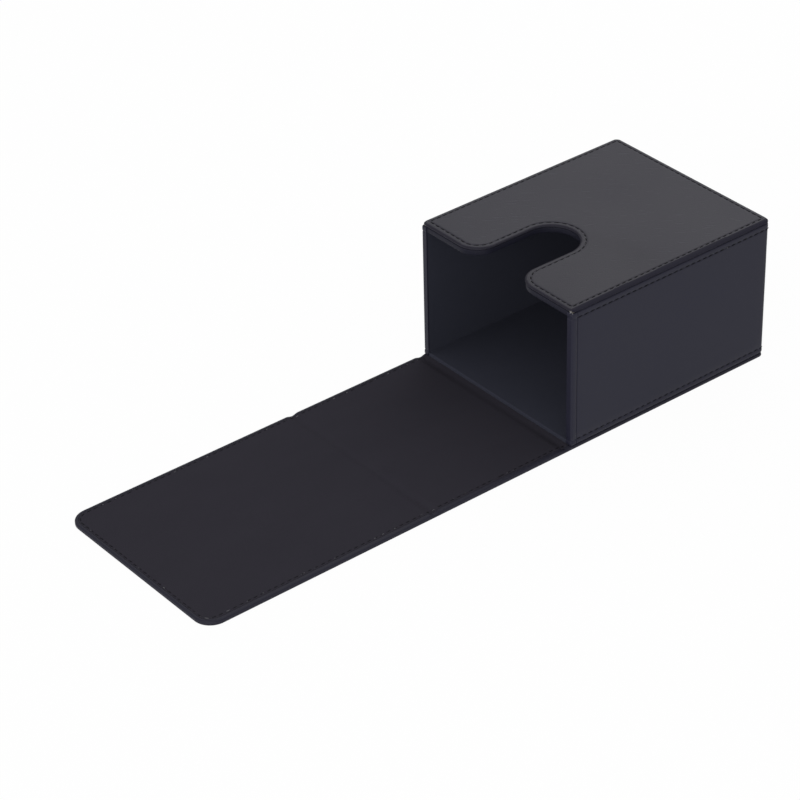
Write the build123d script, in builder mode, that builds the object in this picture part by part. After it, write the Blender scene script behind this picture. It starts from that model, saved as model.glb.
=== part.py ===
from build123d import *
import os

# Photo storage box: a leather-covered box lying on its back, with a long
# wrap-around cover folded open in front of its mouth. Millimetres. X runs
# across the box, +Y goes in from the mouth, +Z is up. The origin is on the
# underside, below the middle of the mouth. Left (-X) and right (+X) are as
# seen looking into the mouth.

# outside sizes
box_width = 95.0
box_depth = 111.4          # mouth to the outside of the end wall
box_height = 67.5          # underside of the cover to the face of the front panel
box_corner_radius = 2.5    # corners seen in plan

# sheet materials
leather = 0.7              # coated leather skin
lining = 0.4               # microfibre lining
cover_board = 0.8          # greyboard in the cover
wall_board = 1.9           # greyboard in the side and end walls
back_board = 1.2           # greyboard in the box's own back wall
front_board = 1.7          # greyboard in the box's own front wall
panel_board = 0.8          # greyboard in the stitched front panel

# thumb notch
notch_width = 24.5
notch_depth = 43.3
notch_shift = -0.45        # the cut lies a little left of the middle
lip_radius = 11.0          # rounded lips where the notch meets the mouth
binding_setback = 0.3      # the wall's binding lies this far behind the panel's rim

# folding cover
mouth_gap = 2.4            # from the mouth to the first fold line
fold_half_gap = 3.0        # from a fold line to the board beside it
shoulder_run = 1.2         # length of the slope down into a fold
closed_flap_gap = 2.6      # between the closed flap and the front panel
flap_setback = 0.2         # the closed flap ends this far short of the box's end
flap_corner_radius = 8.0
lining_inset = 1.5         # from the cover's edge to the edge of its lining

# rolled and bevelled edges
cover_top_roll = 0.6
cover_bottom_bevel = 0.3
panel_top_roll = 1.0
panel_bottom_bevel = 0.3
wrap_bevel = 0.4
mouth_edge_roll = 0.9      # outer upright edges of the mouth
binding_bevel = 0.4
floor_nose_roll = 0.3

# magnetic catch
magnet_diameter = 10.0
magnet_thickness = 0.5
magnet_spacing = 52.0
magnet_from_end = 12.0     # magnet's middle to the outside of the end wall
magnet_clearance = 0.1

# worked out across the box
half_width = box_width / 2
skin_x = half_width - leather              # outer face of a side board
board_x = skin_x - wall_board              # inner face of a side board
inner_x = board_x - lining                 # inner face of a side wall

# worked out along the box
skin_y = box_depth - leather
board_y = skin_y - wall_board
inner_y = board_y - lining
binding_y = binding_setback + leather      # mouth edge of the front board

# worked out upwards
web = leather + lining                     # thickness in a fold
cover_thickness = web + cover_board
board_top = leather + cover_board
floor_board_top = cover_thickness + back_board
floor_top = floor_board_top + lining
wall_top = box_height - leather - panel_board
ceiling_board = wall_top - front_board
ceiling = ceiling_board - lining

# fold lines and ends of the cover
first_fold = -mouth_gap
spine_length = box_height + closed_flap_gap + cover_board - web
second_fold = first_fold - spine_length
flap_length = mouth_gap + box_depth - flap_setback
flap_end = second_fold - flap_length
spine_near = first_fold - fold_half_gap    # the spine board's two edges
spine_far = second_fold + fold_half_gap
flap_near = second_fold - fold_half_gap    # the flap board's fold edge
magnet_y = box_depth - magnet_from_end
flap_magnet_y = second_fold - mouth_gap - magnet_y    # over magnet_y when closed
magnet_hole = magnet_thickness + magnet_clearance


def drop(edge, fold, height):
    """Side view of a surface leaving a board's edge and sloping down beside a fold."""
    run = shoulder_run if edge > fold else -shoulder_run
    return [(edge, height), (edge - run, height - cover_board)]


def rise(edge, fold, height):
    """The same slope, walked from the fold up to the board."""
    return drop(edge, fold, height)[::-1]


def sheet(upper):
    """Side view of a lining that hangs by its thickness from its upper points."""
    return upper + [(y, z - lining) for y, z in reversed(upper)]


def block(half_x, near_y, far_y):
    """Rectangle in plan, centred across the box."""
    with Locations((0, (near_y + far_y) / 2)):
        return Rectangle(2 * half_x, far_y - near_y)


def magnet_circles(y, radius):
    """The pair of round magnets, or their holes, in plan."""
    with Locations((-magnet_spacing / 2, y), (magnet_spacing / 2, y)):
        Circle(radius)


def notched_plate(half_x, far_y, inset, corner=0.0):
    """Plan of a plate whose mouth edge and thumb notch lie inset behind the outline."""
    radius = notch_width / 2 + inset
    round_y = notch_depth - notch_width / 2
    with BuildSketch(mode=Mode.PRIVATE) as plan:
        block(half_x, inset, far_y)
        if corner:
            fillet(plan.vertices(), corner)
        with Locations((notch_shift, round_y)):
            Circle(radius, mode=Mode.SUBTRACT)
        with Locations((notch_shift, (inset + round_y) / 2)):
            Rectangle(2 * radius, round_y - inset, mode=Mode.SUBTRACT)
        mouth_corners = plan.vertices().group_by(Axis.Y)[0].sort_by(Axis.X)[1:3]
        fillet(mouth_corners, lip_radius - inset)
    return plan.sketch


# ------------------------------------------------------------ cover: back, under the box
back_surface = [(box_depth, cover_thickness), *drop(0, first_fold, cover_thickness),
                (first_fold, web)]
back_lining_surface = [(box_depth - lining_inset, cover_thickness), *back_surface[1:]]

with BuildPart() as back_cover_board:
    with BuildSketch(Plane.YZ):
        Polygon((skin_y, leather), (skin_y, board_top), *drop(0, first_fold, board_top),
                align=None)
    extrude(amount=skin_x, both=True)
    rear_corners = back_cover_board.edges().filter_by(Axis.Z).group_by(Axis.Y)[-1]
    fillet(rear_corners, box_corner_radius - leather)

with BuildPart() as back_cover_lining:
    with BuildSketch(Plane.YZ):
        Polygon(*sheet(back_lining_surface), align=None)
    extrude(amount=half_width - lining_inset, both=True)

with BuildPart() as back_cover_leather:
    with BuildSketch(Plane.YZ):
        Polygon(*back_surface, (first_fold, 0), (box_depth, 0), align=None)
    extrude(amount=half_width, both=True)
    rear_corners = back_cover_leather.edges().filter_by(Axis.Z).group_by(Axis.Y)[-1]
    fillet(rear_corners, box_corner_radius)
    top_rim = back_cover_leather.faces().sort_by(Axis.Z)[-1].edges().sort_by(Axis.Y)[1:]
    fillet(top_rim, cover_top_roll)
    low_rim = back_cover_leather.faces().sort_by(Axis.Z)[0].edges().sort_by(Axis.Y)[1:]
    chamfer(low_rim, cover_bottom_bevel)
    add(back_cover_board.part, mode=Mode.SUBTRACT)
    add(back_cover_lining.part, mode=Mode.SUBTRACT)

# ------------------------------------------------------------- cover: spine, over the mouth
spine_surface = [(first_fold, web), *rise(spine_near, first_fold, cover_thickness),
                 *drop(spine_far, second_fold, cover_thickness), (second_fold, web)]

with BuildPart() as spine_board:
    with BuildSketch(Plane.YZ):
        Polygon(*rise(spine_near, first_fold, board_top),
                *drop(spine_far, second_fold, board_top), align=None)
    extrude(amount=skin_x, both=True)

with BuildPart() as spine_lining:
    with BuildSketch(Plane.YZ):
        Polygon(*sheet(spine_surface), align=None)
    extrude(amount=half_width - lining_inset, both=True)

with BuildPart() as spine_leather:
    with BuildSketch(Plane.YZ):
        Polygon(*spine_surface, (second_fold, 0), (first_fold, 0), align=None)
    extrude(amount=half_width, both=True)
    top_rim = spine_leather.faces().sort_by(Axis.Z)[-1].edges().filter_by(Axis.Y)
    fillet(top_rim, cover_top_roll)
    low_rim = spine_leather.faces().sort_by(Axis.Z)[0].edges().filter_by(Axis.Y)
    chamfer(low_rim, cover_bottom_bevel)
    add(spine_board.part, mode=Mode.SUBTRACT)
    add(spine_lining.part, mode=Mode.SUBTRACT)

# -------------------------------------------------------------- cover: flap, over the front
flap_surface = [(second_fold, web), *rise(flap_near, second_fold, cover_thickness),
                (flap_end, cover_thickness)]
flap_lining_surface = [*flap_surface[:-1], (flap_end + lining_inset, cover_thickness)]

with BuildPart() as flap_board:
    with BuildSketch(Plane.YZ):
        Polygon(*rise(flap_near, second_fold, board_top),
                (flap_end + leather, board_top), (flap_end + leather, leather), align=None)
    extrude(amount=skin_x, both=True)
    free_corners = flap_board.edges().filter_by(Axis.Z).group_by(Axis.Y)[0]
    fillet(free_corners, flap_corner_radius - leather)
    with BuildSketch(Plane.XY.offset(board_top)):
        magnet_circles(flap_magnet_y, magnet_diameter / 2 + magnet_clearance)
    extrude(amount=-magnet_hole, mode=Mode.SUBTRACT)

with BuildPart() as flap_magnets:
    with BuildSketch(Plane.XY.offset(board_top - magnet_hole)):
        magnet_circles(flap_magnet_y, magnet_diameter / 2)
    extrude(amount=magnet_thickness)

with BuildPart() as flap_lining:
    with BuildSketch(Plane.YZ):
        Polygon(*sheet(flap_lining_surface), align=None)
    extrude(amount=half_width - lining_inset, both=True)
    free_corners = flap_lining.edges().filter_by(Axis.Z).group_by(Axis.Y)[0]
    fillet(free_corners, flap_corner_radius - lining_inset)

with BuildPart() as flap_leather:
    with BuildSketch(Plane.YZ):
        Polygon(*flap_surface, (flap_end, 0), (second_fold, 0), align=None)
    extrude(amount=half_width, both=True)
    free_corners = flap_leather.edges().filter_by(Axis.Z).group_by(Axis.Y)[0]
    fillet(free_corners, flap_corner_radius)
    top_rim = flap_leather.faces().sort_by(Axis.Z)[-1].edges().sort_by(Axis.Y)[:-1]
    fillet(top_rim, cover_top_roll)
    low_rim = flap_leather.faces().sort_by(Axis.Z)[0].edges().sort_by(Axis.Y)[:-1]
    chamfer(low_rim, cover_bottom_bevel)
    add(flap_board.part, mode=Mode.SUBTRACT)
    add(flap_lining.part, mode=Mode.SUBTRACT)
    with BuildSketch(Plane.XY.offset(board_top)):
        magnet_circles(flap_magnet_y, magnet_diameter / 2 + magnet_clearance)
    extrude(amount=-magnet_hole, mode=Mode.SUBTRACT)

# ------------------------------------------------------------------------ box: its walls
with BuildPart() as back_wall_board:
    with BuildSketch(Plane.XY.offset(cover_thickness)):
        block(board_x, leather, board_y)
    extrude(amount=back_board)

with BuildPart() as left_wall_board:
    with BuildSketch(Plane.XY.offset(cover_thickness)):
        with Locations((-(skin_x + board_x) / 2, (leather + skin_y) / 2)):
            Rectangle(wall_board, skin_y - leather)
    extrude(amount=wall_top - cover_thickness)
    upright_edges = left_wall_board.edges().filter_by(Axis.Z)
    rear_corner = upright_edges.group_by(Axis.Y)[-1].sort_by(Axis.X)[0]
    fillet(rear_corner, box_corner_radius - leather)

with BuildPart() as right_wall_board:
    add(mirror(left_wall_board.part, about=Plane.YZ, mode=Mode.PRIVATE))

with BuildPart() as end_wall_board:
    with BuildSketch(Plane.XY.offset(cover_thickness)):
        block(board_x, board_y, skin_y)
    extrude(amount=wall_top - cover_thickness)

with BuildPart() as front_wall_board:
    with BuildSketch(Plane.XY.offset(ceiling_board)):
        add(notched_plate(board_x, board_y, binding_y))
    extrude(amount=front_board)

# -------------------------------------------------------------------- box: its coverings
with BuildPart() as wall_wrap_leather:
    with BuildSketch(Plane.XY.offset(cover_thickness)):
        outside = block(half_width, 0, box_depth)
        fillet(outside.vertices().group_by(Axis.Y)[-1], box_corner_radius)
        fillet(outside.vertices().group_by(Axis.Y)[0], mouth_edge_roll)
    extrude(amount=wall_top - cover_thickness)
    chamfer(wall_wrap_leather.faces().filter_by(Axis.Z).edges(), wrap_bevel)
    with BuildSketch(Plane.XY.offset(cover_thickness)):
        pocket = block(skin_x, leather, skin_y)
        fillet(pocket.vertices().group_by(Axis.Y)[-1], box_corner_radius - leather)
        block(inner_x, 0, leather)
    extrude(amount=wall_top - cover_thickness, mode=Mode.SUBTRACT)

with BuildPart() as wall_lining:
    with BuildSketch(Plane.XY.offset(floor_board_top)):
        block(board_x, leather, board_y)
        with Locations((0, (leather + inner_y) / 2)):
            Rectangle(2 * inner_x, inner_y - leather, mode=Mode.SUBTRACT)
    extrude(amount=ceiling_board - floor_board_top)

with BuildPart() as floor_lining:
    with BuildSketch(Plane.XY.offset(cover_thickness)):
        block(inner_x, leather - lining, inner_y)
    extrude(amount=floor_top - cover_thickness)
    nose = floor_lining.edges().filter_by(Axis.X).group_by(Axis.Y)[0].sort_by(Axis.Z)[-1]
    fillet(nose, floor_nose_roll)
    add(back_wall_board.part, mode=Mode.SUBTRACT)

with BuildPart() as front_wall_lining:
    with BuildSketch(Plane.XY.offset(ceiling)):
        add(notched_plate(inner_x, inner_y, binding_y))
    extrude(amount=lining)

with BuildPart() as front_edge_binding:
    with BuildSketch(Plane.XY.offset(ceiling)):
        add(notched_plate(inner_x, box_depth, binding_setback))
    extrude(amount=wall_top - ceiling)
    low_edges = front_edge_binding.faces().sort_by(Axis.Z)[0].edges()
    chamfer([edge for edge in low_edges if edge.center().Y < notch_depth], binding_bevel)
    with BuildSketch(Plane.XY.offset(ceiling)):
        add(notched_plate(half_width, box_depth + leather, binding_y))
    extrude(amount=wall_top - ceiling, mode=Mode.SUBTRACT)

# ---------------------------------------------------------------- box: stitched front panel
with BuildPart() as front_panel_board:
    with BuildSketch(Plane.XY.offset(wall_top)):
        add(notched_plate(skin_x, skin_y, leather, box_corner_radius - leather))
    extrude(amount=panel_board)
    with BuildSketch(Plane.XY.offset(wall_top)):
        magnet_circles(magnet_y, magnet_diameter / 2 + magnet_clearance)
    extrude(amount=magnet_hole, mode=Mode.SUBTRACT)

with BuildPart() as front_panel_magnets:
    with BuildSketch(Plane.XY.offset(wall_top)):
        magnet_circles(magnet_y, magnet_diameter / 2)
    extrude(amount=magnet_thickness)

with BuildPart() as front_panel_leather:
    with BuildSketch(Plane.XY.offset(wall_top)):
        add(notched_plate(half_width, box_depth, 0, box_corner_radius))
    extrude(amount=panel_board + leather)
    fillet(front_panel_leather.faces().sort_by(Axis.Z)[-1].edges(), panel_top_roll)
    chamfer(front_panel_leather.faces().sort_by(Axis.Z)[0].edges(), panel_bottom_bevel)
    with BuildSketch(Plane.XY.offset(wall_top)):
        add(notched_plate(skin_x, skin_y, leather, box_corner_radius - leather))
    extrude(amount=panel_board, mode=Mode.SUBTRACT)

# --------------------------------------------------------------------------- the files
pieces = {
    "back_cover_leather": back_cover_leather,
    "back_cover_board": back_cover_board,
    "back_cover_lining": back_cover_lining,
    "spine_leather": spine_leather,
    "spine_board": spine_board,
    "spine_lining": spine_lining,
    "flap_leather": flap_leather,
    "flap_board": flap_board,
    "flap_lining": flap_lining,
    "flap_magnets": flap_magnets,
    "back_wall_board": back_wall_board,
    "left_wall_board": left_wall_board,
    "right_wall_board": right_wall_board,
    "end_wall_board": end_wall_board,
    "front_wall_board": front_wall_board,
    "wall_wrap_leather": wall_wrap_leather,
    "wall_lining": wall_lining,
    "floor_lining": floor_lining,
    "front_wall_lining": front_wall_lining,
    "front_edge_binding": front_edge_binding,
    "front_panel_leather": front_panel_leather,
    "front_panel_board": front_panel_board,
    "front_panel_magnets": front_panel_magnets,
}

os.makedirs("parts", exist_ok=True)
for name, piece in pieces.items():
    piece.part.label = name
    export_step(piece.part, f"parts/{name}.step")
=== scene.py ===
import math
import random

import bmesh
import bpy
from mathutils import Matrix, Vector, noise


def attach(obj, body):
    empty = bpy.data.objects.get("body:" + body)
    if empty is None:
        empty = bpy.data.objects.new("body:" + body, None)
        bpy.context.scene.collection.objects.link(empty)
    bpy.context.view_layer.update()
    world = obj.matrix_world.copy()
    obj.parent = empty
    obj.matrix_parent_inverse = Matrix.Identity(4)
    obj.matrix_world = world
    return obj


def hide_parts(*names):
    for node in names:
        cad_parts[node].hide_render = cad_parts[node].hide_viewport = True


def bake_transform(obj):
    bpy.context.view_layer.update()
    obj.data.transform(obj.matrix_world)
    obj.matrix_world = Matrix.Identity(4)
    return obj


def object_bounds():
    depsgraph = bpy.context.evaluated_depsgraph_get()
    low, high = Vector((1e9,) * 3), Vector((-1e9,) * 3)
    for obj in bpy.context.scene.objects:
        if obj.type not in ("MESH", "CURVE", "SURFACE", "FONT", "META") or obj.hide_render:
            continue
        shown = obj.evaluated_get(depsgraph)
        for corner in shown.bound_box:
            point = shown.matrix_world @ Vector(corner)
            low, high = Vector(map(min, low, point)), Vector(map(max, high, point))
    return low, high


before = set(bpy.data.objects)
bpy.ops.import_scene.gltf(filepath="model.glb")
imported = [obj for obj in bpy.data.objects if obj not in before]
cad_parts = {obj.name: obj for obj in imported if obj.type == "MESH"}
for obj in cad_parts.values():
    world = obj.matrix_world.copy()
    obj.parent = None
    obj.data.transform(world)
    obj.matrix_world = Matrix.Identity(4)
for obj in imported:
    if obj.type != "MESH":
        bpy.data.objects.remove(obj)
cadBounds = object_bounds()
chance = random.Random(7)  # the small differences between stitches, alike in each run
mm = 0.001  # shapes are drawn in millimetres and scaled to metres when a piece is finished

# sizes that several pieces share, in millimetres
lowest, highest = cadBounds
box = {"halfWidth": round(highest[0] / mm, 2), "depth": round(highest[1] / mm, 2), "corner": 2.5,
       "insideHalf": 44.5}
notch = {"left": -12.7, "right": 11.8, "depth": 43.3, "lip": 11.0}
folds = {"first": -2.4, "second": -72.2, "halfWidth": 3.2, "bend": 2.6, "split": -37.3}


class Link:
    # a node's output that can be used in sums: each operator adds its Math node
    def __init__(self, tree, socket):
        self.tree, self.socket = tree, socket

    def joined(self, operation, other, swapped=False):
        node = self.tree.nodes.new("ShaderNodeMath")
        node.operation = operation
        for slot, value in zip(node.inputs, (other, self) if swapped else (self, other)):
            if isinstance(value, Link):
                self.tree.links.new(value.socket, slot)
            else:
                slot.default_value = value
        return Link(self.tree, node.outputs[0])

    def __add__(self, other): return self.joined("ADD", other)
    def __radd__(self, other): return self.joined("ADD", other, True)
    def __sub__(self, other): return self.joined("SUBTRACT", other)
    def __rsub__(self, other): return self.joined("SUBTRACT", other, True)
    def __mul__(self, other): return self.joined("MULTIPLY", other)
    def __rmul__(self, other): return self.joined("MULTIPLY", other, True)


def addNode(tree, kind, settings=None, inputs=None, out=0):
    # its settings come first, then the values or links of its sockets, each given by name or number
    node = tree.nodes.new(kind)
    for name, value in (settings or {}).items():
        if name == "stops":
            stops = node.color_ramp.elements
            while len(stops) < len(value):
                stops.new(0.5)
            for stop, (position, tone) in zip(stops, value):
                stop.position, stop.color = position, (tone, tone, tone, 1)
        else:
            setattr(node, name, value)
    for name, value in (inputs or {}).items():
        slot = socketOf(node.inputs, name)
        if isinstance(value, Link):
            tree.links.new(value.socket, slot)
        else:
            slot.default_value = value
    return Link(tree, socketOf(node.outputs, out))


def socketOf(sockets, name):
    if isinstance(name, int):
        return sockets[name]
    return next(s for s in sockets if s.enabled and s.name == name)


class Finish:
    # a material and its main shader, with the few nodes that the finishes below are made of
    def __init__(self, name, **constants):
        self.material = bpy.data.materials.new(name)
        self.material.use_nodes = True
        self.tree = self.material.node_tree
        self.shader = self.tree.nodes["Principled BSDF"]
        self.place = self.node("ShaderNodeTexCoord", out="Object")
        for socket, value in constants.items():
            self.shader.inputs[socket.replace("_", " ")].default_value = value

    def node(self, kind, settings=None, inputs=None, out=0):
        return addNode(self.tree, kind, settings, inputs, out)

    def feed(self, socket, link):
        self.tree.links.new(link.socket, self.shader.inputs[socket])

    def stretched(self, lengths, turn=(0, 0, 0)):
        # marks grow longer by these factors along the turned axes
        return self.node("ShaderNodeMapping", {"vector_type": "TEXTURE"},
                         {"Vector": self.place, "Scale": lengths, "Rotation": turn}, "Vector")

    def speckle(self, scale, detail=3.0, roughness=0.55, place=None):
        return self.node("ShaderNodeTexNoise", {}, {"Vector": place or self.place, "Scale": scale,
                         "Detail": detail, "Roughness": roughness})

    def ramp(self, link, *stops):
        return self.node("ShaderNodeValToRGB", {"stops": stops}, {"Fac": link}, "Color")

    def mixed(self, factor, first, second):
        return self.node("ShaderNodeMix", {"data_type": "RGBA"},
                         {"Factor": factor, "A": (*first, 1), "B": (*second, 1)}, "Result")

    def relief(self, height, distance):
        bump = self.node("ShaderNodeBump", {}, {"Height": height, "Distance": distance}, "Normal")
        self.feed("Normal", bump)


leatherLook = {
    "dark": (0.0158, 0.0146, 0.0240), "light": (0.0215, 0.0202, 0.0318), "rough": (0.50, 0.60),
    "grain": 1900, "grainDepth": 0.00004, "cloud": 20,
    # short stretch marks, few and far between
    "streak": {"scale": 800, "length": 5, "turn": 0.902, "stops": ((0.63, 0), (0.69, 1)), "tone": 1.3,
               "depth": 0.00003},
    # painted shade: the near right corner of the front is painted a little darker, standing in for the sheen
    # of the light
    # from behind fading there: the shift that brings it to the middle, one over its size, and how it fades
    "shadedCorner": {"shift": (-0.034, -0.012, -0.0675), "tightness": 20, "stops": ((0.3, 1), (0.95, 0))},
}


def leatherFinish(name, shine, tint=(1, 1, 1), grain=1.0, streaks=0.0, cornerShade=0.0):
    look, streak, shadedCorner = leatherLook, leatherLook["streak"], leatherLook["shadedCorner"]
    finish = Finish(name, Specular_IOR_Level=shine, IOR=1.46)
    cells = finish.node("ShaderNodeTexVoronoi", {"feature": "SMOOTH_F1"}, {
        "Vector": finish.place, "Scale": look["grain"] * grain, "Smoothness": 0.35}, "Distance")
    pores = finish.speckle(look["grain"] * 2.2, 2)
    lengthwise = finish.stretched((streak["length"], 1, 1), (0, 0, streak["turn"]))
    marks = finish.ramp(finish.speckle(streak["scale"], 2, 0.5, lengthwise), *streak["stops"])
    cloud = finish.speckle(look["cloud"], 3)
    share = cloud * 0.7 + marks * (streak["tone"] * streaks)
    # painted shade: the base colour darkens towards the near right corner
    if cornerShade:
        place = finish.node("ShaderNodeMapping", {}, {
            "Vector": finish.place, "Location": shadedCorner["shift"]}, "Vector")
        apart = finish.node("ShaderNodeVectorMath", {"operation": "LENGTH"}, {"Vector": place}, "Value")
        share = share - finish.ramp(apart * shadedCorner["tightness"], *shadedCorner["stops"]) * cornerShade
    dark, light = ([part * dye for part, dye in zip(look[tone], tint)] for tone in ("dark", "light"))
    finish.feed("Base Color", finish.mixed(share, dark, light))
    low, high = look["rough"]
    finish.feed("Roughness", cloud * (high - low) + low - 0.04 * cells)
    sunk = marks * (streaks * streak["depth"] / look["grainDepth"])
    finish.relief(cells * 0.7 + pores * 0.3 - sunk, look["grainDepth"])
    return finish.material


def fibreFinish(name, dark, light):
    finish = Finish(name, Specular_IOR_Level=0.12, IOR=1.4)
    nap = finish.speckle(2600, 3, 0.6)
    brushed = finish.speckle(60, 4, 0.6, finish.stretched((1, 2.2, 1)))
    finish.feed("Base Color", finish.mixed(nap * 0.6 + brushed * 0.4, dark, light))
    finish.feed("Roughness", 0.88 + nap * 0.1)
    finish.relief(nap, 0.00006)
    return finish.material


def threadFinish(name, glint):
    # painted highlights: light flecks painted into the thread's colour stand for stitches catching the light;
    # the higher the glint, the fewer stitches get one
    finish = Finish(name, Specular_IOR_Level=0.1)
    twist = finish.node("ShaderNodeTexWave", {"wave_type": "BANDS"}, {
        "Vector": finish.stretched((1, 1, 1), (0.4, 0.5, 0.7)), "Scale": 1500, "Distortion": 1.5}, 1)
    glints = finish.ramp(finish.speckle(420, 1), (glint, 0), (glint + 0.06, 1))
    # painted highlight: the glinting stitches are painted light grey
    finish.feed("Base Color", finish.mixed(glints, (0.0030, 0.0030, 0.0055), (0.09, 0.09, 0.10)))
    finish.feed("Roughness", 0.6 - 0.15 * glints)
    finish.relief(twist, 0.00006)
    return finish.material


def cutThreadFinish(name):
    finish = Finish(name, Specular_IOR_Level=0.4)
    fibres = finish.ramp(finish.speckle(1700, 1), (0.42, 0), (0.58, 1))
    finish.feed("Base Color", finish.mixed(fibres, (0.02, 0.02, 0.03), (0.36, 0.36, 0.39)))
    finish.feed("Roughness", 0.6 + fibres * 0.2)
    finish.relief(fibres, 0.00004)
    return finish.material


def boardFinish(name):
    finish = Finish(name, Specular_IOR_Level=0.2)
    pulp = finish.speckle(700, 5, 0.65)
    flecks = finish.ramp(finish.speckle(2600, 2), (0.60, 0), (0.66, 1))
    share = pulp * 0.7 + flecks * 0.3
    finish.feed("Base Color", finish.mixed(share, (0.30, 0.275, 0.24), (0.46, 0.43, 0.38)))
    finish.feed("Roughness", 0.82 + pulp * 0.12)
    finish.relief(pulp, 0.00005)
    return finish.material


def platingFinish(name):
    finish = Finish(name, Metallic=1.0)
    rings = finish.speckle(900, 3, 0.5, finish.stretched((6, 6, 1)))
    finish.feed("Base Color", finish.mixed(rings, (0.50, 0.50, 0.51), (0.62, 0.62, 0.63)))
    finish.feed("Roughness", 0.22 + rings * 0.2)
    finish.relief(rings, 0.00001)
    return finish.material


topLeather = leatherFinish("topLeather", 0.36, streaks=1.0, cornerShade=1.8)
# the rolled rim's leather is duller, and painted darker than the front's as painted shade where the rim turns
# away from the light; the right side's is painted darker still
shadedRimLeather = leatherFinish("shadedRimLeather", 0.16, (0.9, 0.9, 0.9))
rightShadedRimLeather = leatherFinish("rightShadedRimLeather", 0.08, (0.84, 0.86, 0.90))
sideLeather = leatherFinish("sideLeather", 0.2, (0.88, 0.94, 1.06), 1.15)
# its colour is painted a little darker than the front's: painted shade for the cover's edges, which face the
# floor
coverLeather = leatherFinish("coverLeather", 0.16, (0.92, 0.96, 0.98), 1.05)
bindingLeather = leatherFinish("bindingLeather", 0.14, (0.68, 0.74, 0.80), 1.2)
coverFibre = fibreFinish("coverFibre", (0.0205, 0.0190, 0.0260), (0.0300, 0.0280, 0.0370))
# the lining inside the box is painted lighter than the cover's lining: painted light, standing in for light
# bounced into the box
insideFibre = fibreFinish("insideFibre", (0.028, 0.030, 0.043), (0.040, 0.042, 0.059))
sewingThread = threadFinish("sewingThread", 0.68)
coverThread = threadFinish("coverThread", 0.6)
threadEnds = cutThreadFinish("threadEnds")
greyBoard = boardFinish("greyBoard")
nickelPlating = platingFinish("nickelPlating")
print("materials made")


def roundedOutline(bm, corners, z):
    # one flat face, its corners given as x, y, radius and segments; a very small radius leaves a sharp corner
    points = [bm.verts.new((x, y, z)) for x, y, radius, segments in corners]
    bm.faces.new(points)
    for point, (x, y, radius, segments) in zip(points, corners):
        if radius > 0.3:
            bmesh.ops.bevel(bm, geom=[point], offset=radius, offset_type="OFFSET", segments=segments,
                            profile=0.5, affect="VERTICES", material=-1, clamp_overlap=False)
    bmesh.ops.remove_doubles(bm, verts=bm.verts, dist=0.06)
    return bm.faces[:][0]


def slab(bm, corners, low, high):
    # a plate with upright sides; its top and its bottom face are returned
    face = roundedOutline(bm, corners, low)
    lifted = bmesh.ops.extrude_face_region(bm, geom=[face])["geom"]
    bmesh.ops.translate(bm, vec=(0, 0, high - low), verts=vertsOf(lifted))
    bmesh.ops.recalc_face_normals(bm, faces=bm.faces)
    return flatFace(bm, high), flatFace(bm, low)


def vertsOf(geom):
    return [g for g in geom if isinstance(g, bmesh.types.BMVert)]


def flatFace(bm, z):
    level = [f for f in bm.faces if abs(f.calc_center_median().z - z) < 1e-4 and abs(f.normal.z) > 0.99]
    return max(level, key=lambda f: f.calc_area())


def stepIn(bm, face, steps):
    # each step goes in from the rim by its run, and out along the face's normal by its lift
    for run, lift in steps:
        bmesh.ops.inset_region(bm, faces=[face], thickness=run, depth=lift, use_even_offset=True,
                               use_boundary=True)
    return face


def quarterRound(run, rise, count):
    turns = [math.pi / 2 * k / count for k in range(count + 1)]
    return [(run * (math.cos(a) - math.cos(b)), rise * (math.sin(b) - math.sin(a)))
            for a, b in zip(turns, turns[1:])]


def sharpen(bm, face, corners):
    # corner arcs that have almost shrunk away become one point each, so that further steps meet sharply there
    z = face.calc_center_median().z
    for x, y, radius, segments in corners:
        arc = [v for v in face.verts if (v.co.xy - Vector((x, y))).length < 1.2]
        if len(arc) > 1:
            bmesh.ops.pointmerge(bm, verts=arc, merge_co=(x, y, z))
    return flatFace(bm, z)


def cutAcross(bm, axis, places):
    # straight cuts through the whole shape, so that it can bend or swell between them
    normal = [1 if k == axis else 0 for k in range(3)]
    for place in places:
        point = [place if k == axis else 0 for k in range(3)]
        bmesh.ops.bisect_plane(bm, geom=bm.verts[:] + bm.edges[:] + bm.faces[:], dist=1e-4,
                               plane_co=point, plane_no=normal)


def spread(start, end, count):
    return [start + (end - start) * k / count for k in range(count + 1)]


def rising(value, start, length):
    # 0 up to the start, and 1 from this length past it
    return min(max((value - start) / length, 0.0), 1.0)


def nudge(inset, middle, reach):
    # 1 on the line at this inset, fading to 0 on both its sides
    return max(0.0, 1 - ((inset - middle) / reach) ** 2) ** 2


def finishPiece(bm, name, material, sharp=38):
    bmesh.ops.scale(bm, vec=(mm, mm, mm), verts=bm.verts)
    bmesh.ops.recalc_face_normals(bm, faces=bm.faces)
    mesh = bpy.data.meshes.new(name)
    bm.to_mesh(mesh)
    bm.free()
    mesh.shade_smooth()
    mesh.set_sharp_from_angle(angle=math.radians(sharp))
    mesh.materials.append(material)
    piece = bpy.data.objects.new(name, mesh)
    bpy.context.scene.collection.objects.link(piece)
    return piece


def plateCorners(inset, halfWidth=box["halfWidth"], corner=box["corner"]):
    # plan of the front, drawn in by the inset: a rectangle with the thumb notch cut into its mouth edge
    left, right, deep = notch["left"] - inset, notch["right"] + inset, notch["depth"] + inset
    lip, turn = notch["lip"] - inset, (right - left) / 2 - 0.01
    half, rear, outer = halfWidth - inset, box["depth"] - inset, max(corner - inset, 0)
    return [(-half, inset, outer, 6), (left, inset, lip, 16), (left, deep, turn, 22), (right, deep, turn, 22),
            (right, inset, lip, 16), (half, inset, outer, 6), (half, rear, outer, 6), (-half, rear, outer, 6)]


def outlinePoints(corners, z):
    bm = bmesh.new()
    face = roundedOutline(bm, corners, z)
    points = [v.co.copy() for v in face.verts]
    bm.free()
    return points


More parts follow.
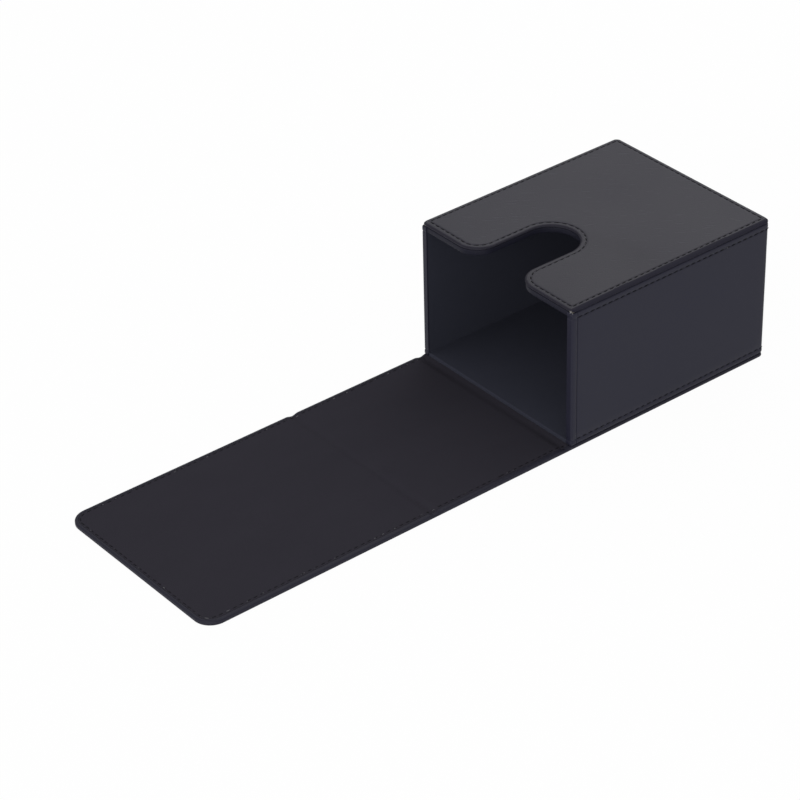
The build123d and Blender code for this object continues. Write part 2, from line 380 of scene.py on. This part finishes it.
def stitchPlaces(points, pitch, sharpTurn=0.9):
    # middle and direction of each stitch round a closed line; even from sharp corner to sharp corner
    before, after = points[-1:] + points, points[1:] + points[:1]
    bends = [(b - a).angle(c - b) > sharpTurn for a, b, c in zip(before, points, after)]
    first = bends.index(True) if any(bends) else 0
    points, bends = points[first:] + points[:first + 1], bends[first:] + bends[:first + 1]
    breaks = [0] + [k for k in range(1, len(points) - 1) if bends[k]] + [len(points) - 1]
    places = []
    for low, high in zip(breaks, breaks[1:]):
        steps = list(zip(points[low:high], points[low + 1:high + 1]))
        total = sum((b - a).length for a, b in steps)
        count = max(round(total / pitch), 1)
        travelled, made = 0.0, 0
        for a, b in steps:
            length = (b - a).length
            while made < count and (made + 0.5) * total / count <= travelled + length:
                part = ((made + 0.5) * total / count - travelled) / length
                places.append((a.lerp(b, part), (b - a).normalized()))
                made += 1
            travelled += length
    return places


def sewn(stitches, size):
    # short thread bars whose ends dive into the material, each given by its middle, direction and outward
    # side; a few at a time, because an operator walks its whole mesh
    whole = bmesh.new()
    for first in range(0, len(stitches), 12):
        few = bmesh.new()
        for middle, along, outward in stitches[first:first + 12]:
            side = outward.cross(along).normalized()
            swing = Matrix.Rotation(size["slant"] + chance.uniform(-0.10, 0.10), 3, outward)
            turn = Matrix((swing @ along, swing @ side, outward)).transposed().to_4x4()
            length = size["length"] * chance.uniform(0.92, 1.06)
            shape = Matrix.Diagonal((length / 2, size["width"] / 2, size["height"] / 2, 1))
            place = Matrix.Translation(middle) @ turn @ shape @ Matrix.Rotation(math.pi / 2, 4, "Y")
            bmesh.ops.create_uvsphere(few, u_segments=8, v_segments=5, radius=1, matrix=place)
        part = bpy.data.meshes.new("few")
        few.to_mesh(part)
        few.free()
        whole.from_mesh(part)
        bpy.data.meshes.remove(part)
    return whole


frontPanel = {
    "side": (66.92, 67.0),  # where the turned edge stands out furthest, like a thin cord below the rim
    "cord": (0.15, 0.14), "crack": [(0.08, -0.06), (0.04, 0.06)], "roll": (1.3, 0.34),
    "foot": [(0.5, 0.0), (0.02, 0.95)], "seamInset": 2.4, "swell": 0.05, "swellPace": 0.045,
    # steps inwards and upwards: the rim outside the seam, then the seam's groove and the pad inside it
    "rim": [(0.15, 0.03), (0.1, 0.01), (0.1, -0.02)],
    "pad": [(0.1, -0.03), (0.1, -0.05), (0.08, -0.05), (0.2, -0.01), (0.2, 0.01), (0.08, 0.05), (0.1, 0.06),
            (0.12, 0.05), (0.2, 0.05), (0.3, 0.03), (0.6, 0.01), (0.9, 0.01)],
    # how much further in the seam runs along each side than round the notch; what moves with it lies
    # round this inset, this far to each side, and above this height
    "drift": {"right": 0.62, "left": -0.38, "end": -0.38, "mouthLeft": 0.45},
    "drifting": {"middle": 2.7, "reach": 1.9}, "driftFrom": 66.7,
    "leftLip": {"start": 20, "length": 5},  # how far left of the middle the mouth's left part begins
    # the rim isn't rolled alike all round: inset and height on the sides that differ
    "rims": {"right": [(0.0, 66.58), (0.15, 66.66), (0.27, 66.72), (0.5, 66.86), (0.7, 66.96), (1.0, 67.12),
                       (1.28, 67.28), (1.57, 67.43), (1.9, 67.53)],
             "rear": [(0.0, 67.06), (0.15, 67.22), (0.27, 67.29), (0.5, 67.38), (0.8, 67.45), (1.1, 67.49),
                      (1.5, 67.52), (1.9, 67.53)],
             "mouth": [(0.25, 67.10), (0.4, 67.22), (0.7, 67.36), (1.0, 67.46), (1.4, 67.545),
                       (1.9, 67.575)]},
    # these heights hold for the rim, this wide and from its own height up, and fade towards the corners;
    # the cord below it lies this much lower than along the mouth
    "rimWidth": 1.85, "cordFrom": 66.5, "rimFrom": 66.99, "fade": 2.5, "lower": 0.4,
    # heights between which the rolled rim takes a duller leather, painted darker as painted shade where it
    # turns from the light, and the width of the right side's rim
    "rimShadeHeights": (67.06, 67.43), "rightRimShadeHeights": (66.5, 67.45), "rightWidth": 2.2, "levelNormal": 0.994,
    "cutsAcross": (-43, 43, 22), "cutsAlong": (4.5, 107, 26),
}


def rimHeight(side, inset, z):
    marks = frontPanel["rims"][side]
    if inset < marks[0][0] - 0.01:
        return z
    for (near, low), (far, high) in zip(marks, marks[1:]):
        if inset <= far:
            return low + (high - low) * max(inset - near, 0.0) / (far - near)


def onLeftLip(x):
    return rising(-x, frontPanel["leftLip"]["start"], frontPanel["leftLip"]["length"])


def reshaped(point):
    # the right side's rim slopes down to the wall, and the left side's and the end's are fuller
    x, y, z = point
    insets = {"right": box["halfWidth"] - x, "left": box["halfWidth"] + x,
              "end": box["depth"] - y, "mouth": y}
    nearest = min(insets, key=insets.get)
    inset, second = sorted(insets.values())[:2]
    corner = box["corner"]
    if second < corner:
        inset = corner - math.hypot(corner - inset, corner - second)
    if inset > frontPanel["rimWidth"] or z < frontPanel["cordFrom"]:
        return z
    if z < frontPanel["rimFrom"]:
        return z - frontPanel["lower"] * rising(y, 0.5, frontPanel["fade"]) * (nearest != "mouth")
    others = [far for side, far in insets.items() if side != nearest and {side, nearest} != {"left", "end"}]
    share = rising(min(others), inset, frontPanel["fade"])
    if nearest == "mouth":
        share = min(share, onLeftLip(x))
    side = {"left": "rear", "end": "rear"}.get(nearest, nearest)
    return z + (rimHeight(side, inset, z) - z) * share


def drifted(point):
    # moves the seam and what lies beside it inwards, and leaves the outer edge where it is
    def push(side, inset):
        return frontPanel["drift"][side] * nudge(inset, **frontPanel["drifting"])

    x, y, z = point
    return Vector((x - push("right", box["halfWidth"] - x) + push("left", box["halfWidth"] + x),
                   y + push("mouthLeft", y) * onLeftLip(x) - push("end", box["depth"] - y), z))


def makeFrontPanel():
    bm = bmesh.new()
    top, bottom = slab(bm, plateCorners(0), *frontPanel["side"])
    cord = quarterRound(*frontPanel["cord"], 3)
    stepIn(bm, bottom, cord + frontPanel["foot"])
    edge = cord + frontPanel["crack"] + quarterRound(*frontPanel["roll"], 7) + frontPanel["rim"]
    top = stepIn(bm, top, edge)
    inner = plateCorners(sum(run for run, lift in edge))
    top = sharpen(bm, top, [corner for corner in inner if corner[2] < 1])
    stepIn(bm, top, frontPanel["pad"])
    cutAcross(bm, 0, spread(*frontPanel["cutsAcross"]))
    cutAcross(bm, 1, spread(*frontPanel["cutsAlong"]))
    for point in bm.verts:
        point.co.z = reshaped(point.co)
        if point.co.z > frontPanel["driftFrom"]:
            point.co = drifted(point.co)
            point.co.z += frontPanel["swell"] * noise.noise(point.co * frontPanel["swellPace"])
    for face in bm.faces:
        # the normals are still those of the even rim, whose flat crown keeps the front's own leather
        middle = face.calc_center_median()
        right = box["halfWidth"] - middle.x < min(frontPanel["rightWidth"], middle.y)
        low, high = frontPanel["rightRimShadeHeights" if right else "rimShadeHeights"]
        # painted shade: the sloping faces of the rolled rim take the darker leathers
        if low < middle.z < high and (right or abs(face.normal.z) < frontPanel["levelNormal"]):
            face.material_index = 2 if right else 1
    piece = finishPiece(bm, "frontPanel", topLeather)
    piece.data.materials.append(shadedRimLeather)
    piece.data.materials.append(rightShadedRimLeather)
    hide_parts("front_panel_leather")
    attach(piece, "box")


panelSeam = {"pitch": 3.32, "size": {"length": 2.35, "width": 0.76, "height": 0.34, "slant": 0.2}, "z": 67.38}


def makePanelSeam():
    line = outlinePoints(plateCorners(frontPanel["seamInset"]), panelSeam["z"])
    places = stitchPlaces([drifted(point) for point in line], panelSeam["pitch"])
    bm = sewn([(middle, along, Vector((0, 0, 1))) for middle, along in places], panelSeam["size"])
    piece = finishPiece(bm, "panelSeam", sewingThread, 180)
    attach(piece, "box")


wallWrap = {
    "thickness": 0.7, "mouthRoll": 0.9, "rollSteps": 5, "cornerSteps": 7, "sideSteps": 20, "endSteps": 18,
    # how far out the skin stands at each height, from the foot to the top
    "skin": [(1.6, -0.6), (1.85, -0.45), (2.05, -0.15), (2.35, 0.05), (2.8, 0.12), (3.4, 0.10), (3.9, 0.02),
             (4.15, -0.1), (4.4, -0.17), (4.65, -0.08), (4.95, 0.0), (8.0, 0.0), (16.0, 0.0), (26.0, 0.0),
             (36.0, 0.0), (46.0, 0.0), (55.0, 0.0), (61.5, 0.0), (62.5, 0.0), (62.95, -0.03), (63.2, -0.12),
             (63.4, -0.2), (63.6, -0.1), (63.8, 0.04), (64.2, 0.08), (64.9, 0.09), (65.3, 0.06), (65.6, 0.01),
             (65.8, -0.12), (65.95, -0.34), (66.0, -0.65)],
    # the strip beside the mouth ends in a small step and groove: place along the side, shift outwards
    "mouthStrip": [(1.3, 0.09), (2.3, 0.11), (2.65, 0.06), (2.85, -0.2), (3.05, -0.22), (3.2, -0.02),
                   (3.5, 0.0)],
    # the sides aren't quite flat between these heights and behind the mouth's strip
    "sway": 0.06, "swayPace": 0.05, "swaying": (8, 60), "swayBehind": 4,
}


def makeWallWrap():
    bm = bmesh.new()
    roll, skin, strip = wallWrap["mouthRoll"], wallWrap["skin"], wallWrap["mouthStrip"]
    profile = skin + [(skin[end][0], -wallWrap["thickness"]) for end in (-1, 0)]
    ring = [bm.verts.new((-box["insideHalf"], -out, z)) for z, out in profile]
    edges = [bm.edges.new(pair) for pair in zip(ring, ring[1:] + ring[:1])]
    bmesh.ops.edgeloop_fill(bm, edges=edges)

    def carriedOn(verts, move):
        # the new vertices become the ring, in the profile's order
        nonlocal ring, edges
        ring = [min(verts, key=lambda v: (v.co - move @ old.co).length) for old in ring]
        edges = [bm.edges.get(pair) for pair in zip(ring, ring[1:] + ring[:1])]

    def pushed(vec):
        new = vertsOf(bmesh.ops.extrude_edge_only(bm, edges=edges)["geom"])
        bmesh.ops.translate(bm, vec=vec, verts=new)
        carriedOn(new, Matrix.Translation(vec))

    def turned(centre, steps):
        quarter = Matrix.Rotation(-math.pi / 2, 4, "Z")
        made = bmesh.ops.spin(bm, geom=ring + edges, cent=(*centre, 0), axis=(0, 0, 1), angle=-math.pi / 2,
                              steps=steps, use_duplicate=False)["geom_last"]
        pivot = Matrix.Translation((*centre, 0))
        carriedOn(vertsOf(made), pivot @ quarter @ pivot.inverted())

    def walked(stops, outward):
        # along a side wall from stop to stop, each a place and how far out the skin stands there
        for (here, height), (y, out) in zip(stops, stops[1:]):
            pushed((0, y - here, 0))
            bmesh.ops.translate(bm, vec=(outward * (out - height), 0, 0), verts=ring[:len(skin)])

    half, corner, rear = box["halfWidth"], box["corner"], box["depth"] - box["corner"]
    mouthReturn = half - roll - box["insideHalf"]
    stops = [(roll, 0.0)] + strip + [(y, 0.0) for y in spread(strip[-1][0], rear, wallWrap["sideSteps"])[1:]]
    pushed((-mouthReturn, 0, 0))
    turned((-(half - roll), roll), wallWrap["rollSteps"])
    walked(stops, -1)
    turned((-(half - corner), rear), wallWrap["cornerSteps"])
    for step in range(wallWrap["endSteps"]):
        pushed((2 * (half - corner) / wallWrap["endSteps"], 0, 0))
    turned((half - corner, rear), wallWrap["cornerSteps"])
    walked(stops[::-1], 1)
    turned((half - roll, roll), wallWrap["rollSteps"])
    pushed((-mouthReturn, 0, 0))
    bmesh.ops.edgeloop_fill(bm, edges=edges)
    low, high = wallWrap["swaying"]
    for point in bm.verts:
        if low < point.co.z < high and point.co.y > wallWrap["swayBehind"]:
            sway = wallWrap["sway"] * noise.noise(point.co * wallWrap["swayPace"])
            point.co.x += sway * (1 if point.co.x > 0 else -1)
    piece = finishPiece(bm, "wallWrap", sideLeather, 50)
    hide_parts("wall_wrap_leather")
    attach(piece, "box")


wallSeams = {"pitch": 3.3, "size": {"length": 2.3, "width": 0.55, "height": 0.4, "slant": 0.14}, "from": 4.2,
             "lines": [(63.42, -0.04), (4.38, -0.12)]}  # height, and how far out the thread's middle lies


def makeWallSeams():
    stitches = []
    for z, out in wallSeams["lines"]:
        half, rear = box["halfWidth"] + out, box["depth"] + out
        corner, ahead = box["corner"] + out, -40  # the line closes in front of the mouth, where it isn't sewn
        corners = [(-half, ahead, 0.05, 1), (half, ahead, 0.05, 1),
                   (half, rear, corner, 7), (-half, rear, corner, 7)]
        for middle, along in stitchPlaces(outlinePoints(corners, z), wallSeams["pitch"]):
            if middle.y > wallSeams["from"]:
                stitches.append((middle, along, Vector((along.y, -along.x, 0))))
    piece = finishPiece(sewn(stitches, wallSeams["size"]), "wallSeams", sewingThread, 180)
    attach(piece, "box")


binding = {"halfLength": 44.8, "setback": 0.3, "thickness": 0.8, "low": 63.7, "high": 66.1, "roll": 0.36}


def makeBinding():
    # a strip of leather that follows the mouth edge and the notch from one side wall to the other
    bm = bmesh.new()
    face = roundedOutline(bm, plateCorners(binding["setback"], binding["halfLength"], 0), binding["low"])
    bmesh.ops.inset_region(bm, faces=[face], thickness=binding["thickness"], use_even_offset=True,
                           use_boundary=True)
    end, behind = binding["halfLength"] - binding["setback"] - binding["thickness"], notch["depth"] + 3
    spare = [f for f in bm.faces if len(f.verts) > 4 or f.calc_center_median().y > behind
             or abs(f.calc_center_median().x) > end]
    bmesh.ops.delete(bm, geom=spare, context="FACES")
    bmesh.ops.recalc_face_normals(bm, faces=bm.faces)
    if bm.faces[:][0].normal.z > 0:
        bmesh.ops.reverse_faces(bm, faces=bm.faces)
    lifted = bmesh.ops.extrude_face_region(bm, geom=bm.faces[:], use_keep_orig=True)["geom"]
    bmesh.ops.translate(bm, vec=(0, 0, binding["high"] - binding["low"]), verts=vertsOf(lifted))
    rims = [e for e in bm.edges if len(e.link_faces) == 2 and e.calc_face_angle() > 1
            and abs(e.verts[0].co.z - e.verts[1].co.z) < 1e-4]
    bmesh.ops.bevel(bm, geom=rims, offset=binding["roll"], offset_type="OFFSET", segments=4, profile=0.5,
                    affect="EDGES", material=-1, clamp_overlap=True)
    piece = finishPiece(bm, "edgeBinding", bindingLeather)
    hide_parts("front_edge_binding")
    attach(piece, "box")


cover = {
    "end": round(lowest[1] / mm, 2), "rear": box["depth"], "freeCorner": 8.0, "rearCorner": 2.5,
    "top": 1.9, "floor": 0.7, "topRoll": (0.85, 0.6), "lowRoll": 0.35, "upperFrom": 1.2,
    # how much further in the right side's seam runs, and how far to its sides this reaches
    "seamInset": 2.3, "drift": 0.8, "driftReach": 2.1,
    # steps inwards and upwards under the cover: into the seam's groove, and out of it
    "lowGroove": [(0.15, -0.02), (0.15, -0.13), (0.15, -0.05)], "beforeSeam": 0.1,
    "lowPad": [(0.2, 0.0), (0.15, 0.05), (0.15, 0.13), (0.15, 0.02), (0.4, 0.0)],
    # the leather sinks just before the lining, whose own edge and pad follow in the same kind of steps
    "liningInset": 1.5, "lining": 0.4, "liningGap": 0.25, "underLining": [(0.1, -0.02), (0.08, -0.1)],
    "liningEdge": [(0.05, 0.05), (0.1, 0.03), (0.35, 0.01), (0.1, -0.03), (0.14, -0.06)],
    "liningPad": [(0.14, 0.0), (0.14, 0.05), (0.2, 0.03), (0.5, 0.01)],
    # the folds' valleys, the open cover's slight swell, and how far its edge is pressed under the walls
    "edgeValley": 0.7, "middleValley": 0.25, "swell": 0.05, "swellPace": 0.03, "pressed": 0.28,
    "walls": {"mouth": 1, "side": 46, "end": 110},
}
# cuts across, close together at the folds, so that the cover bends smoothly there
coverSlices = (spread(cover["end"] + 6, folds["second"] - 8, 20)
               + spread(folds["second"] - 6, folds["second"] + 6, 24)
               + spread(folds["second"] + 9, folds["first"] - 8, 10)
               + spread(folds["first"] - 5.4, folds["first"] + 5.4, 24)
               + spread(9, 105, 12) + [folds["split"]])


def valley(x, y):
    # how far the cover's upper side sinks along its two fold lines
    for line in (folds["first"], folds["second"]):
        reach = 1 - abs(y - line) / folds["halfWidth"]
        if reach > 0:
            side = (abs(x) / box["halfWidth"]) ** 3
            depth = cover["middleValley"] + (cover["edgeValley"] - cover["middleValley"]) * side
            return depth * reach * reach * (3 - 2 * reach)
    return 0.0


def ripple(x, y):
    # the open cover isn't dead flat, and its edge is pressed thinner under the walls
    walls = cover["walls"]
    underWall = y > walls["mouth"] and (abs(x) > walls["side"] or y > walls["end"])
    swell = cover["swell"] * noise.noise(Vector((x, y, 0)) * cover["swellPace"])
    return swell - cover["pressed"] * underWall


def movedIn(x):
    return x - cover["drift"] * nudge(box["halfWidth"] - x, cover["seamInset"], cover["driftReach"])


def laid(point):
    # how the cover's upper side really lies
    x, y, z = point
    return Vector((movedIn(x), y, z + ripple(x, y) - valley(x, y)))


def coverCorners(inset):
    half = box["halfWidth"] - inset
    free, rear = cover["freeCorner"] - inset, max(cover["rearCorner"] - inset, 0)
    return [(-half, cover["end"] + inset, free, 14), (half, cover["end"] + inset, free, 14),
            (half, cover["rear"] - inset, rear, 5), (-half, cover["rear"] - inset, rear, 5)]


def coverHalves(bm, name, material, replaced, sharp):
    # the cover is cut across the spine's middle into a near half, by the first fold, and a far half, by the
    # second; they meet there
    for part, keepFront, bodies, line, nodes in (
            ("Near", False, ("box", "spine"), folds["first"], replaced[0]),
            ("Far", True, ("spine", "flap"), folds["second"], replaced[1])):
        half = bm.copy()
        cut = bmesh.ops.bisect_plane(half, geom=half.verts[:] + half.edges[:] + half.faces[:], dist=1e-4,
                                     plane_co=(0, folds["split"], 0), plane_no=(0, 1, 0),
                                     clear_outer=keepFront, clear_inner=not keepFront)["geom_cut"]
        bmesh.ops.holes_fill(half, edges=[g for g in cut if isinstance(g, bmesh.types.BMEdge)], sides=0)
        piece = finishPiece(half, name + part, material, sharp)
        if nodes:
            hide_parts(*nodes)
        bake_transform(piece)
    bm.free()


def makeCoverLeather():
    bm = bmesh.new()
    run, rise = cover["topRoll"]
    top, bottom = slab(bm, coverCorners(0), cover["lowRoll"], cover["top"] - rise)
    reach = cover["seamInset"] - cover["beforeSeam"]
    flat = reach - cover["lowRoll"] - sum(run for run, lift in cover["lowGroove"])
    rolled = quarterRound(cover["lowRoll"], cover["lowRoll"], 4)
    bottom = stepIn(bm, bottom, rolled + [(flat, 0.0)] + cover["lowGroove"])
    bottom = sharpen(bm, bottom, coverCorners(reach)[2:])
    stepIn(bm, bottom, cover["lowPad"])
    flat = cover["liningInset"] - run - cover["liningGap"]
    top = stepIn(bm, top, quarterRound(run, rise, 6) + [(flat, 0.0)] + cover["underLining"])
    sunk = sum(lift for run, lift in cover["underLining"])
    stepIn(bm, top, [(0.02, cover["floor"] - cover["top"] - sunk)])
    cutAcross(bm, 1, coverSlices)
    cutAcross(bm, 0, spread(-40, 40, 8))
    for point in bm.verts:
        if point.co.z > cover["upperFrom"]:
            point.co = laid(point.co)
    coverHalves(bm, "coverLeather", coverLeather,
                (("back_cover_leather", "spine_leather"), ("spine_leather", "flap_leather")), 40)


def makeCoverLining():
    bm = bmesh.new()
    outline = coverCorners(cover["liningInset"])
    top, bottom = slab(bm, outline, cover["top"] - cover["lining"], cover["top"] - 0.1)
    top = stepIn(bm, top, cover["liningEdge"])
    inner = coverCorners(cover["liningInset"] + sum(run for run, lift in cover["liningEdge"]))
    top = sharpen(bm, top, inner[2:])
    stepIn(bm, top, cover["liningPad"])
    cutAcross(bm, 1, coverSlices)
    cutAcross(bm, 0, spread(-40, 40, 8))
    for point in bm.verts:
        point.co = laid(point.co)
    coverHalves(bm, "coverLining", coverFibre,
                (("back_cover_lining", "spine_lining"), ("spine_lining", "flap_lining")), 60)


coverSeams = {"pitch": 3.3, "size": {"length": 2.2, "width": 0.52, "height": 0.32, "slant": 0.12},
              "upper": 1.83, "lower": 0.16, "shownFrom": -0.6,
              # a stitch too near to the cut between the cover's halves moves clear of it
              "split": {"near": 1.3, "clear": 1.35}}


def makeCoverSeams():
    corners, split = coverCorners(cover["seamInset"]), coverSeams["split"]
    stitches = []
    for z, up in ((coverSeams["upper"], 1), (coverSeams["lower"], -1)):
        for middle, along in stitchPlaces(outlinePoints(corners, z), coverSeams["pitch"]):
            if up > 0:
                if middle.y > coverSeams["shownFrom"]:
                    continue
                middle.x = movedIn(middle.x)
                middle.z += ripple(middle.x, middle.y) - valley(middle.x, middle.y)
            if abs(middle.y - folds["split"]) < split["near"]:
                middle.y = folds["split"] + split["clear"]
            stitches.append((middle, along, Vector((0, 0, up))))
    bm = sewn(stitches, coverSeams["size"])
    coverHalves(bm, "coverSeams", coverThread, (None, None), 180)


cornerThread = {
    "strands": [[(46.5, -0.15, 67.3), (46.5, -0.2, 66.8), (46.35, -0.2, 66.2)],
                [(47.6, 0.2, 67.4), (47.2, -0.1, 67.1), (46.7, -0.3, 66.8)],
                [(46.7, -0.3, 66.8), (47.25, -0.1, 66.5), (47.55, 0.2, 66.15)]],
    "radius": 0.06,
}


def makeCornerThread():
    # the cut ends of the sewing thread at the mouth's right corner
    bm = bmesh.new()
    thick, thin = cornerThread["radius"], cornerThread["radius"] * 0.8
    for strand in cornerThread["strands"]:
        a, b, c = (Vector(point) for point in strand)
        for start, stop in ((a, b), (b, c)):
            line = stop - start
            place = Matrix.Translation((start + stop) / 2) @ line.to_track_quat("Z", "Y").to_matrix().to_4x4()
            bmesh.ops.create_cone(bm, cap_ends=True, segments=7, radius1=thick, radius2=thin,
                                  depth=line.length * 1.08, matrix=place)
    piece = finishPiece(bm, "cornerThread", threadEnds, 60)
    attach(piece, "box")


makeFrontPanel()
makePanelSeam()
print("front panel made")
makeWallWrap()
makeWallSeams()
makeBinding()
makeCornerThread()
print("walls made")
makeCoverLeather()
makeCoverLining()
makeCoverSeams()
print("cover made")

cadFinishes = {"board": greyBoard, "magnets": nickelPlating, "lining": insideFibre, "binding": bindingLeather,
               "leather": sideLeather}
for name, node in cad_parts.items():
    finish = next(finish for word, finish in cadFinishes.items() if word in name)
    node.data.materials.clear()
    node.data.materials.append(finish)
print("inner pieces finished")

studio = {
    "camera": (0.824681, -0.70375, 0.718845), "turn": (0.986488, 0.021271, 0.88756), "lens": 138.447,
    "floorSize": 8.0, "floorDrop": 0.00002, "floorWhite": 0.97, "sky": 0.72, "aim": (0, 0, 0.03),
    "lamps": {"softbox": {"place": (-0.55, 1.1, 1.25), "size": 1.3, "watts": 7.0},
              "fill": {"place": (0.65, -1.15, 0.42), "size": 0.9, "watts": 7.5}},
}


def makeCamera():
    lens = bpy.data.cameras.new("camera")
    lens.lens, lens.sensor_width = studio["lens"], 36
    camera = bpy.data.objects.new("camera", lens)
    camera.location, camera.rotation_euler = studio["camera"], studio["turn"]
    bpy.context.scene.collection.objects.link(camera)
    bpy.context.scene.camera = camera


def makeFloor():
    bm = bmesh.new()
    bmesh.ops.create_grid(bm, x_segments=1, y_segments=1, size=studio["floorSize"] / 2)
    mesh = bpy.data.meshes.new("floor")
    bm.to_mesh(mesh)
    bm.free()
    floor = bpy.data.objects.new("floor", mesh)
    floor.location.z = -studio["floorDrop"]
    bpy.context.scene.collection.objects.link(floor)
    paper = Finish("floorPaper", Specular_IOR_Level=0.0, Roughness=1.0, Base_Color=(0.8, 0.8, 0.8, 1))
    direct, glossy, through = (paper.node("ShaderNodeLightPath", out=ray)
                               for ray in ("Is Camera Ray", "Is Glossy Ray", "Is Transmission Ray"))
    mix = paper.node("ShaderNodeMixShader", {}, {
        "Fac": (direct + glossy + through) * studio["floorWhite"],
        1: Link(paper.tree, paper.shader.outputs[0]), 2: paper.node("ShaderNodeEmission")})
    paper.tree.links.new(mix.socket, paper.tree.nodes["Material Output"].inputs["Surface"])
    floor.data.materials.append(paper.material)


def makeSky():
    # it lights the box at its own strength, and the camera sees it white
    world = bpy.data.worlds.new("studio")
    bpy.context.scene.world = world
    world.use_nodes = True
    tree = world.node_tree
    lit = addNode(tree, "ShaderNodeBackground", {}, {"Color": (1, 1, 1, 1), "Strength": studio["sky"]})
    shown = addNode(tree, "ShaderNodeBackground", {}, {"Color": (1, 1, 1, 1)})
    mix = addNode(tree, "ShaderNodeMixShader", {}, {
        "Fac": addNode(tree, "ShaderNodeLightPath", out="Is Camera Ray"), 1: lit, 2: shown})
    tree.links.new(mix.socket, tree.nodes["World Output"].inputs["Surface"])


def makeLamps():
    for name, light in studio["lamps"].items():
        lamp = bpy.data.lights.new(name, "AREA")
        lamp.size, lamp.energy = light["size"], light["watts"]
        stand = bpy.data.objects.new(name, lamp)
        stand.location = light["place"]
        aim = Vector(studio["aim"]) - Vector(light["place"])
        stand.rotation_euler = aim.to_track_quat("-Z", "Y").to_euler()
        bpy.context.scene.collection.objects.link(stand)


bpy.context.scene.view_settings.view_transform = "Standard"
makeCamera()
makeFloor()
makeSky()
makeLamps()
print("studio made")

bpy.context.view_layer.update()
